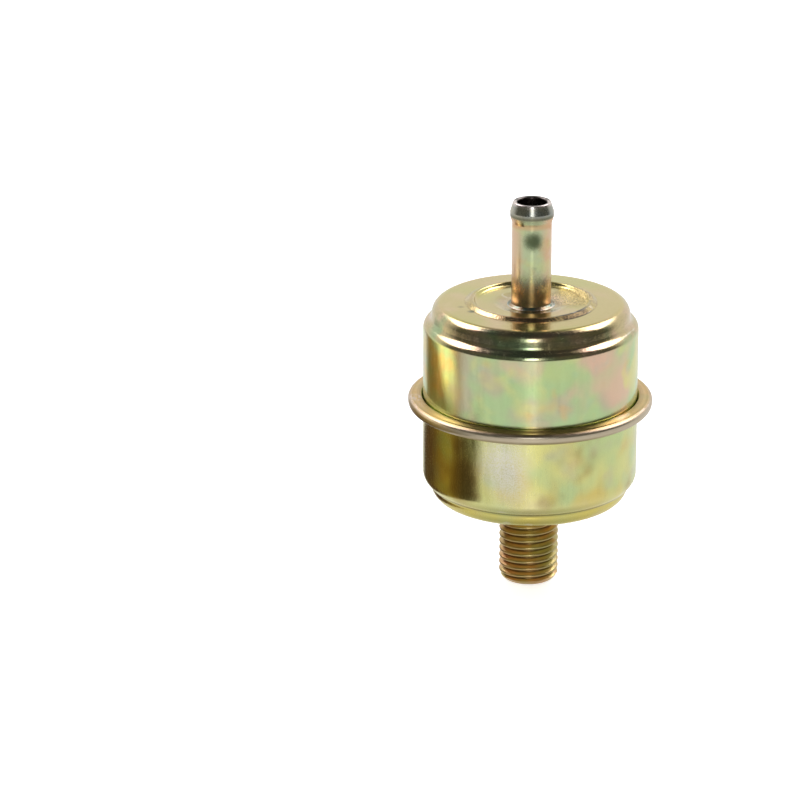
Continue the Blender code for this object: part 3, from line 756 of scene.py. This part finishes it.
def tube_plating():
    """Green tube with painted pink sheen at its sides, a painted copper and dark reflection towards its
    foot, a dark steel bead with a painted highlight on its lip and painted shade under it and on its far
    side, a painted dark bore and a dark smudge.
    """
    material, t = new_material("tube_plating")
    p = in_millimetres(t)
    r, z = radius_and_height(t, p)
    x, y, _ = t.split(p)
    # Painted sheen: the tube turns pink towards its left and right sides, as seen from the front, and
    # stays green in the middle.
    side = t.fade(t.math("ABSOLUTE", x), 1.2, 3.4)
    tube = t.mix(side, (0.46, 0.52, 0.32), (0.66, 0.48, 0.33))
    tube = layer(t, tube, p, YELLOW_GREEN, 0.3, 22.0, 0.58, 0.72, 0.6)
    # Painted reflection: copper spots on the front of the tube near its foot.
    copper = [(-3, -3, 60, 6, 0.3), (3, -3, 59, 5, 0.3), (-3, -2, 65, 5, 0.1)]
    tube = layer(t, tube, p, COPPER, 0.28, 45.0, 0.56, 0.70, 0.7, copper)
    collar = t.math("MULTIPLY", t.fade(z, 74.4, 75.2), t.fade(z, 75.6, 76.2, 1.0, 0.0))
    tube = t.mix(t.math("MULTIPLY", collar, 0.6), tube, (0.62, 0.36, 0.18))
    smudge = patches(t, p, [(0.2, -4, 72.5, 3.6, 1.0), (0.4, -4, 66.8, 1.6, 0.35)])
    mottle = t.noise(p, 1.8, 3.0, 0.6)
    stain = t.fade(t.math("ADD", smudge, t.math("MULTIPLY", mottle, 0.35)), 0.35, 1.15)
    # Painted reflection: the lower third is mottled dark and tinted pale copper.
    low_third = t.fade(z, 60.0, 69.0, 1.0, 0.0)
    foot = t.math("MULTIPLY", low_third, t.fade(mottle, 0.4, 0.7, 0.1, 0.75))
    tube = t.mix(t.math("MULTIPLY", foot, 0.75), tube, (0.20, 0.20, 0.09))
    tube = t.mix(t.math("MULTIPLY", low_third, 0.2), tube, (0.78, 0.60, 0.48))
    tube = t.mix(t.math("MULTIPLY", stain, 0.9), tube, (0.07, 0.10, 0.05))
    bead = layer(t, (0.44, 0.42, 0.34), p, (0.30, 0.33, 0.32), 0.4, 7.0, 0.48, 0.62, 0.7)
    # Painted shade: the bead darkens towards its underside.
    bead = t.mix(t.fade(z, 77.0, 77.8, 0.85, 0.0), bead, (0.15, 0.145, 0.085))
    # Painted highlight: the top of the lip turns pale.
    bead = t.mix(t.fade(z, 78.9, 79.5), bead, (0.62, 0.56, 0.52))
    # Painted shade: the far side of the lip's top is darkened.
    far_lip_shade = t.math("MULTIPLY", t.fade(y, 0.2, 1.2), t.fade(z, 78.6, 79.1))
    bead = t.mix(t.math("MULTIPLY", far_lip_shade, 0.9), bead, (0.10, 0.10, 0.085))
    colour = t.mix(t.fade(z, 76.5, 77.0), tube, bead)
    # Painted shade: the bore is darkened.
    bore = t.fade(r, 2.98, 3.15, 1.0, 0.0)
    colour = t.mix(t.math("MULTIPLY", bore, 0.85), colour, (0.06, 0.04, 0.04))
    matte = t.total(
        t.math("MULTIPLY", stain, 0.25),
        t.fade(z, 75.8, 76.5, 0.0, 0.12),
        t.math("MULTIPLY", low_third, 0.14),
    )
    plated_surface(t, p, colour, 0.16, 0.9, matte)
    return material


def braze_metal():
    """Lumpy braze under a blue-green film, bright where it bubbled."""
    material, t = new_material("braze_metal")
    p = in_millimetres(t)
    film = layer(t, (0.44, 0.46, 0.34), p, TEAL, 0.5, 3.0, 0.45, 0.62, 0.8)
    film = layer(t, film, p, SILVER, 1.2, 13.0, 0.54, 0.66, 0.7)
    film = layer(t, film, p, (0.10, 0.12, 0.09), 0.9, 29.0, 0.58, 0.70, 0.7)
    z = t.split(p)[2]
    tan = layer(t, (0.26, 0.20, 0.12), p, (0.14, 0.24, 0.20), 0.6, 51.0, 0.50, 0.60, 0.8)
    film = t.mix(t.fade(z, 40.0, 41.0), film, tan)
    bubbles = t.math("MULTIPLY", t.noise(p, 1.3, 3.0, 0.6), 4.0)
    upper = t.fade(z, 40.0, 41.0, 0.0, 0.10)
    plated_surface(t, p, film, 0.20, 1.3, upper, bubbles)
    return material


def plain_surface(t, p, colour, metallic, rough, height, distance, wear_to):
    """Shader for the inner pieces: worn edges, smeared roughness and a bump."""
    worn = t.add("ShaderNodeNewGeometry").outputs["Pointiness"]
    colour = t.mix(t.fade(worn, 0.53, 0.64, 0.0, 0.5), colour, wear_to)
    smear = t.noise(p, 0.7, 4.0, 0.65)
    roughness = t.fade(smear, 0.3, 0.75, rough - 0.05, rough + 0.10)
    normal = t.bump(height, 0.6, distance * MM)
    shader = t.add(
        "ShaderNodeBsdfPrincipled",
        {"Base Color": colour, "Metallic": metallic, "Roughness": roughness, "Normal": normal},
    )
    t.add("ShaderNodeOutputMaterial", {"Surface": shader.outputs[0]})


def tinned_sheet():
    """Satin tinplate with a faint spangle and drawing marks."""
    material, t = new_material("tinned_sheet")
    p = in_millimetres(t)
    spangle = t.add("ShaderNodeTexVoronoi", {"Vector": p, "Scale": 0.5}).outputs["Distance"]
    colour = t.mix(t.fade(spangle, 0.1, 0.8), (0.66, 0.66, 0.64), (0.52, 0.53, 0.53))
    colour = layer(t, colour, p, (0.50, 0.45, 0.36), 0.25, 6.0, 0.58, 0.72, 0.5)
    drawn = t.noise(t.vector("MULTIPLY", p, (1.0, 1.0, 0.08)), 3.0, 3.0, 0.6)
    plain_surface(t, p, colour, 1.0, 0.32, drawn, 0.02, (0.80, 0.79, 0.76))
    return material


def oiled_wire():
    """Grey-brown spring wire with die marks along it and dark oil in patches."""
    material, t = new_material("oiled_wire")
    p = in_millimetres(t)
    colour = layer(t, (0.38, 0.38, 0.38), p, (0.20, 0.17, 0.13), 0.5, 2.0, 0.46, 0.62, 0.8)
    drawn = t.noise(t.vector("MULTIPLY", p, (0.6, 0.6, 6.0)), 2.0, 3.0, 0.6)
    plain_surface(t, p, colour, 1.0, 0.30, drawn, 0.015, (0.62, 0.61, 0.58))
    return material


def resin_paper():
    """Amber filter paper: fibres, creases worn pale, resin darker in clouds."""
    material, t = new_material("resin_paper")
    p = in_millimetres(t)
    colour = layer(t, (0.66, 0.47, 0.22), p, (0.52, 0.34, 0.13), 0.2, 4.0, 0.45, 0.65, 0.7)
    fibres = t.noise(t.vector("MULTIPLY", p, (3.0, 3.0, 0.7)), 2.2, 5.0, 0.7)
    colour = t.mix(t.fade(fibres, 0.45, 0.75, 0.0, 0.4), colour, (0.76, 0.60, 0.34))
    plain_surface(t, p, colour, 0.0, 0.80, fibres, 0.08, (0.80, 0.68, 0.45))
    return material


def cured_plastisol():
    """Dull red adhesive with bubbles and a wavy skin."""
    material, t = new_material("cured_plastisol")
    p = in_millimetres(t)
    colour = layer(t, (0.36, 0.06, 0.035), p, (0.22, 0.03, 0.02), 0.4, 5.0, 0.45, 0.62, 0.8)
    bubbles = t.add("ShaderNodeTexVoronoi", {"Vector": p, "Scale": 1.4}).outputs["Distance"]
    skin = t.math("ADD", t.noise(p, 0.6, 2.0, 0.5), t.fade(bubbles, 0.0, 0.2, -0.4, 0.0))
    plain_surface(t, p, colour, 0.0, 0.45, skin, 0.15, (0.46, 0.12, 0.08))
    return material


def moulded_rubber(name, dark, pale, rough):
    """Rubber or sealing compound with bloom, a matt grain and paler edges."""
    material, t = new_material(name)
    p = in_millimetres(t)
    colour = layer(t, dark, p, pale, 0.35, 7.0, 0.46, 0.66, 0.7)
    grain = t.noise(p, 6.0, 3.0, 0.6)
    colour = t.mix(t.fade(grain, 0.6, 0.8, 0.0, 0.4), colour, pale)
    plain_surface(t, p, colour, 0.0, rough, grain, 0.03, pale)
    return material


# --- Pieces ----------------------------------------------------------------------------------------


def upper_cup(material):
    """A dip round the nipple, a flat disc, a raised ring, the land and a stepped shoulder."""
    dip_z = LAND_TOP_Z - DIP_DEPTH
    disc_z = LAND_TOP_Z - DISC_DEPTH
    ring_z = LAND_TOP_Z + TOP_RING_RISE + 0.05
    outer = rounded(
        [
            (TUBE_R + JOINT_GAP, dip_z, 0),
            (DIP_FLOOR_R, dip_z, 3.0),
            (DIP_RIM_R, disc_z, 3.0),
            (DISC_R, disc_z, 0.8),
            (TOP_RING_INNER_R, ring_z, 0.35),
            (TOP_RING_OUTER_R, ring_z, 0.45),
            (TOP_RING_FOOT_R, LAND_TOP_Z, 0.6),
            (NECK_TOP_R - 0.51, LAND_TOP_Z, 2.24),
            (NECK_TOP_R + 0.01, SHOULDER_FOOT_Z, 1.49),
            (BODY_R, SHOULDER_EDGE_Z, 1.49),
            (BODY_R, FLANGE_TOP_Z, 0.5),
            (FLANGE_R, FLANGE_TOP_Z, 0),
        ],
        steps=12,
    )
    cup = turned("upper_cup", sheet_outline(outer, SHEET), material)
    return finish_piece(cup, CANISTER, "shell_plating", "inlet_shell")


def lower_cup(material):
    """The rolled hem, the wall, a step in to the end, then the end's raised ring and recess."""
    roll = (SEAM_TOP_Z - SEAM_BOTTOM_Z) / 2 - 0.005
    round_z = STEP_BOTTOM_Z + math.sqrt(
        BODY_ROUND**2 - (NECK_BOTTOM_R + STEP_CREASE - BODY_R + BODY_ROUND) ** 2
    )
    outer = rounded(
        [
            (HEM_EDGE_R, SEAM_TOP_Z - 0.40, 0),
            (HEM_EDGE_R + 0.16, SEAM_TOP_Z, 0.22),
            (HEM_EDGE_R + 0.75, SEAM_TOP_Z - 0.06, 0.25),
            (HEM_FACE_R, SEAM_TOP_Z - 0.22, 0.9),
            (HEM_CREST_R, SEAM_TOP_Z - 0.24, 0.5),
            (SEAM_R, SEAM_TOP_Z - 0.62, 0.7),
            (SEAM_R, SEAM_BOTTOM_Z, roll - 0.1),
            (BODY_R, SEAM_BOTTOM_Z, 1.0),
            (BODY_R, round_z + 0.01, 0),
        ],
        steps=14,
    )
    outer += arc(BODY_R - BODY_ROUND, round_z, BODY_ROUND, 0, -57, 14)
    outer += arc(
        NECK_BOTTOM_R - LAND_ROUND, LAND_BOTTOM_Z + LAND_ROUND, LAND_ROUND, -3, -90, 18
    )
    recess_z = LAND_BOTTOM_Z + RECESS_DEPTH
    outer += rounded(
        [
            (16.0, LAND_BOTTOM_Z, 0),
            (END_RING_FOOT_R, LAND_BOTTOM_Z, 0.6),
            (END_RING_TOP_R, LAND_BOTTOM_Z - END_RING_RISE - 0.41, 0.67),
            (RECESS_R, recess_z, 0.4),
            (SPIGOT_R + JOINT_GAP, recess_z, 0),
        ],
        steps=10,
    )
    cup = turned("lower_cup", sheet_outline(outer, SHEET), material)
    return finish_piece(cup, CANISTER, "shell_plating", "outlet_shell")


def hose_nipple(material):
    """Tube with a rolled bead that tapers to a rounded lip."""
    outline = rounded(
        [
            (TUBE_BORE_R, TUBE_TOP_Z, 0.45),
            (BEAD_LIP_R, TUBE_TOP_Z, 0.22),
            (BEAD_R, BEAD_HIGH_Z, 0.7),
            (BEAD_R, BEAD_LOW_Z, 0.5),
            (TUBE_R, BEAD_FOOT_Z, 1.0),
            (TUBE_R, TUBE_FOOT_Z, 0.15),
            (TUBE_BORE_R, TUBE_FOOT_Z, 0.15),
        ],
        closed=True,
        steps=8,
    )
    tube = turned("hose_nipple", outline, material, sides=96)
    return finish_piece(tube, CANISTER, "tube_plating", "inlet_tube")


def nipple_braze(material):
    """Small lumpy fillet between the tube and the floor of the dip."""
    clearance = 0.02
    inner = TUBE_R + clearance
    floor_z = LAND_TOP_Z - DIP_DEPTH + clearance
    rise = 0.5

    def lumpy(point):
        return Vector((0, 0, 0.14 * noise.noise(point * 0.9) * (point.z - floor_z) / rise))

    outline = rounded(
        [
            (inner, floor_z, 0),
            (inner, floor_z + rise, 0.05),
            (inner + 0.22, floor_z + rise * 0.8, 0.15),
            (inner + 0.50, floor_z + rise * 0.3, 0.15),
            (inner + 0.80, floor_z, 0),
        ],
        closed=True,
        steps=5,
    )
    ring = turned("nipple_braze", outline, material, sides=120, wave=lumpy)
    return finish_piece(ring, CANISTER, "braze", "inlet_braze")


def hexagon_r(apothem, angle):
    """Distance from the axis to a hexagon's outline, two of its flats facing +Y and -Y."""
    sixth = math.pi / 3
    return apothem / math.cos(angle % sixth - sixth / 2)


def thread_radius(phase, z):
    """Radius of the thread at a share of the pitch above a crest's middle, and at a height."""
    flank = THREAD_DEPTH * math.tan(math.radians(30)) / THREAD_PITCH
    from_crest = abs((phase + 0.5) % 1.0 - 0.5)
    share = (from_crest - THREAD_CREST / 2) / flank
    share = (share + math.sqrt(share**2 + CREST_SOFTNESS)) / 2
    depth = min(share, 1.0) * THREAD_DEPTH
    radius = THREAD_R - depth
    chamfer = END_FACE_R + (THREAD_R - END_FACE_R) * (z / CHAMFER_RISE) ** 0.7
    run_out = min(max((z - THREAD_TOP_Z + THREAD_PITCH) / THREAD_PITCH, 0.0), 1.0)
    radius = radius * (1 - run_out) + RELIEF_R * run_out if radius > RELIEF_R else radius
    return min(radius, chamfer) if z < THREAD_TOP_Z else RELIEF_R


def threaded_fitting(material):
    """Thread as a true helix, then hexagon, spigot, bore and countersink in one closed skin."""
    rows_per_turn = 24
    top_z = THREAD_TOP_Z + 0.2
    first_row = -rows_per_turn
    last_row = (math.ceil(top_z / THREAD_PITCH) + 1) * rows_per_turn + 1
    vertices = []
    for row in range(first_row, last_row):
        phase = row / rows_per_turn
        for column in range(SIDES + 1):
            z = (phase + column / SIDES + THREAD_START) * THREAD_PITCH
            z = min(max(z, 0.0), top_z)
            radius = thread_radius(phase, z)
            if z == 0.0:
                radius = END_FACE_R
            if z == top_z:
                radius = RELIEF_R
            angle = 2 * math.pi * column / SIDES
            vertices.append((radius * math.cos(angle), radius * math.sin(angle), z))
    faces = grid_faces(last_row - first_row, SIDES + 1, False, False)

    hex_top_z = LAND_BOTTOM_Z + RECESS_DEPTH - JOINT_GAP
    edge = 0.12
    rings = [
        (RELIEF_R, top_z, False),
        (RELIEF_R, HEX_FACE_Z - 0.25, False),
        (RELIEF_R + 0.25, HEX_FACE_Z, False),
        (HEX_APOTHEM - edge, HEX_FACE_Z, True),
        (HEX_APOTHEM, HEX_FACE_Z + edge, True),
        (HEX_APOTHEM, hex_top_z - edge, True),
        (HEX_APOTHEM - edge, hex_top_z, True),
        (SPIGOT_R, hex_top_z, False),
        (SPIGOT_R, SPIGOT_TOP_Z - 0.4, False),
        (SPIGOT_R - 0.4, SPIGOT_TOP_Z, False),
        (OUTLET_BORE_R + 0.2, SPIGOT_TOP_Z, False),
        (OUTLET_BORE_R, SPIGOT_TOP_Z - 0.2, False),
        (OUTLET_BORE_R, SINK_DEPTH, False),
        (SINK_R - 0.1, 0.1, False),
        (SINK_R, 0.0, False),
        (END_FACE_R, 0.0, False),
    ]
    first = len(vertices)
    for radius, z, six_sided in rings:
        for column in range(SIDES):
            angle = 2 * math.pi * column / SIDES
            reach = hexagon_r(radius, angle) if six_sided else radius
            vertices.append((reach * math.cos(angle), reach * math.sin(angle), z))
    faces += grid_faces(len(rings), SIDES, False, True, first)
    fitting = new_piece("threaded_fitting", vertices, faces, material, corner=28)
    return finish_piece(fitting, CANISTER, "fitting_plating", "outlet_fitting")


def hexagon_braze(material):
    """Bubbly bead that runs round the hexagon and spreads over the floor of the recess."""
    floor_z = LAND_BOTTOM_Z + RECESS_DEPTH - JOINT_GAP
    rise = 1.2
    steps = 14
    vertices = []
    for column in range(SIDES):
        angle = 2 * math.pi * column / SIDES
        along = Vector((math.cos(angle), math.sin(angle), 0))
        inner = hexagon_r(HEX_APOTHEM + JOINT_GAP, angle)
        outer = 10.5 + 0.2 * noise.noise(along * 3.1)
        ring = [(inner, floor_z)]
        for step in range(steps + 1):
            share = step / steps
            radius = inner + (outer - inner) * share
            place = along * radius
            lump = noise.noise(place * 0.8) * 0.18 + noise.noise(place * 2.3) * 0.10
            dome = math.sqrt(max(0.0, 1 - share**2.2)) * (rise + lump) if share < 1 else 0.0
            ring.append((radius, floor_z - min(max(dome, 0.0), rise)))
        for radius, z in ring:
            vertices.append((along.x * radius, along.y * radius, z))
    faces = grid_faces(SIDES, steps + 2, True, True)
    bead = new_piece("hexagon_braze", vertices, faces, material, corner=60)
    return finish_piece(bead, CANISTER, "braze", "outlet_braze")


def coil_spring(material):
    """Round wire: a close turn at each end and one and a half open turns between them."""
    low_z = low("element_spring", Z) + WIRE_R
    high_z = high("element_spring", Z) - WIRE_R
    turns = SPRING_OPEN_TURNS + 2
    middle_pitch = (high_z - low_z - 2 * SPRING_END_PITCH) / SPRING_OPEN_TURNS
    rounds = 16
    count = round(turns * 72)
    vertices = []
    for i in range(count + 1):
        turn = turns * i / count
        middle = min(max(turn - 1, 0), SPRING_OPEN_TURNS)
        z = low_z + (turn - middle) * SPRING_END_PITCH + middle * middle_pitch
        along = Vector((math.cos(2 * math.pi * turn), math.sin(2 * math.pi * turn), 0))
        wire = WIRE_R * (0.7 if i in (0, count) else 1.0)
        for step in range(rounds):
            angle = 2 * math.pi * step / rounds
            point = along * (SPRING_R + wire * math.cos(angle))
            vertices.append((point.x, point.y, z + wire * math.sin(angle)))
    faces = grid_faces(count + 1, rounds, False, True)
    faces.append(tuple(range(rounds)))
    faces.append(tuple(count * rounds + step for step in range(rounds)))
    spring = new_piece("coil_spring", vertices, faces, material, corner=40)
    finish_piece(spring, CANISTER, "spring_steel", "element_spring")
    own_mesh(spring)
    return spring


def closed_cap(material):
    """Drawn cap with a raised button that locates the spring."""
    top_z = high("upper_end_cap", Z)
    outer = rounded(
        [
            (0.0, top_z, 0),
            (BUTTON_R - 0.6, top_z, 0.5),
            (BUTTON_R + 0.2, CAP_FACE_Z, 0.5),
            (CAP_R, CAP_FACE_Z, 0.9),
            (CAP_R, low("upper_end_cap", Z), 0),
        ],
        steps=6,
    )
    cap = turned("closed_cap", sheet_outline(outer, CAP_SHEET), material, sides=128)
    return finish_piece(cap, CARTRIDGE, "tinplate", "upper_end_cap")


def open_cap(material):
    """Drawn cap with the hole that the grommet sits in."""
    outer = rounded(
        [
            (CAP_R, high("lower_end_cap", Z), 0),
            (CAP_R, low("lower_end_cap", Z), 0.9),
            (CAP_HOLE_R, low("lower_end_cap", Z), 0),
        ],
        steps=6,
    )
    cap = turned("open_cap", sheet_outline(outer, CAP_SHEET), material, sides=128)
    return finish_piece(cap, CARTRIDGE, "tinplate", "lower_end_cap")


def potting_ring(name, node, material):
    """Adhesive ring with a rounded, slightly uneven outer edge."""
    bottom_z = low(node, Z)
    top_z = high(node, Z)
    outer_r = high(node, X)

    def uneven(point):
        radius = math.hypot(point.x, point.y)
        share = min(max((radius - 15.0) / 3.0, 0.0), 1.0)
        pull = 0.12 * share * (noise.noise(point * 0.5) - 0.6)
        return Vector((point.x, point.y, 0)) / radius * pull

    outline = rounded(
        [
            (POTTING_BORE_R, bottom_z, 0.1),
            (outer_r - 0.35, bottom_z, 0.3),
            (outer_r, (bottom_z + top_z) / 2, 0.5),
            (outer_r - 0.35, top_z, 0.3),
            (POTTING_BORE_R, top_z, 0.1),
        ],
        closed=True,
        steps=4,
    )
    ring = turned(name, outline, material, sides=128, wave=uneven)
    return finish_piece(ring, CARTRIDGE, "adhesive", node)


def grommet(material):
    """Rubber grommet: a foot and a head with a groove between them for the cap's edge."""
    foot_z = low("outlet_seal", Z)
    top_z = high("outlet_seal", Z)
    groove_low = low("lower_end_cap", Z) - JOINT_GAP
    groove_high = low("lower_end_cap", Z) + CAP_SHEET + JOINT_GAP
    outline = rounded(
        [
            (SEAL_BORE_R, foot_z, 0.2),
            (SEAL_FOOT_R, foot_z, 0.4),
            (SEAL_FOOT_R, groove_low, 0.3),
            (SEAL_GROOVE_R, groove_low, 0.1),
            (SEAL_GROOVE_R, groove_high, 0.1),
            (8.2, groove_high, 0.25),
            (7.9, top_z, 0.4),
            (SEAL_BORE_R, top_z, 0.3),
        ],
        closed=True,
        steps=5,
    )
    seal = turned("grommet", outline, material, sides=96)
    return finish_piece(seal, CARTRIDGE, "rubber", "outlet_seal")


place_camera()
light_the_studio()
stand_side_card()
lay_floor()
bpy.context.scene.view_settings.view_transform = "Standard"

upper_cup(upper_plating())
lower_cup(lower_plating())
hose_nipple(tube_plating())
braze = braze_metal()
nipple_braze(braze)
threaded_fitting(fitting_plating())
hexagon_braze(braze)

tinplate = tinned_sheet()
plastisol = cured_plastisol()
coil_spring(oiled_wire())
closed_cap(tinplate)
open_cap(tinplate)
potting_ring("upper_adhesive", "upper_potting", plastisol)
potting_ring("lower_adhesive", "lower_potting", plastisol)
grommet(moulded_rubber("nitrile", (0.018, 0.018, 0.02), (0.05, 0.05, 0.052), 0.55))
inner_looks = {
    "media_seam_clip": tinplate,
    "core_tube": tinplate,
    "filter_media": resin_paper(),
    "seam_seal": moulded_rubber("seam_compound", (0.06, 0.06, 0.07), (0.12, 0.12, 0.12), 0.7),
}
for node, look in inner_looks.items():
    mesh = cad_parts[node].data
    mesh.materials.clear()
    mesh.materials.append(look)
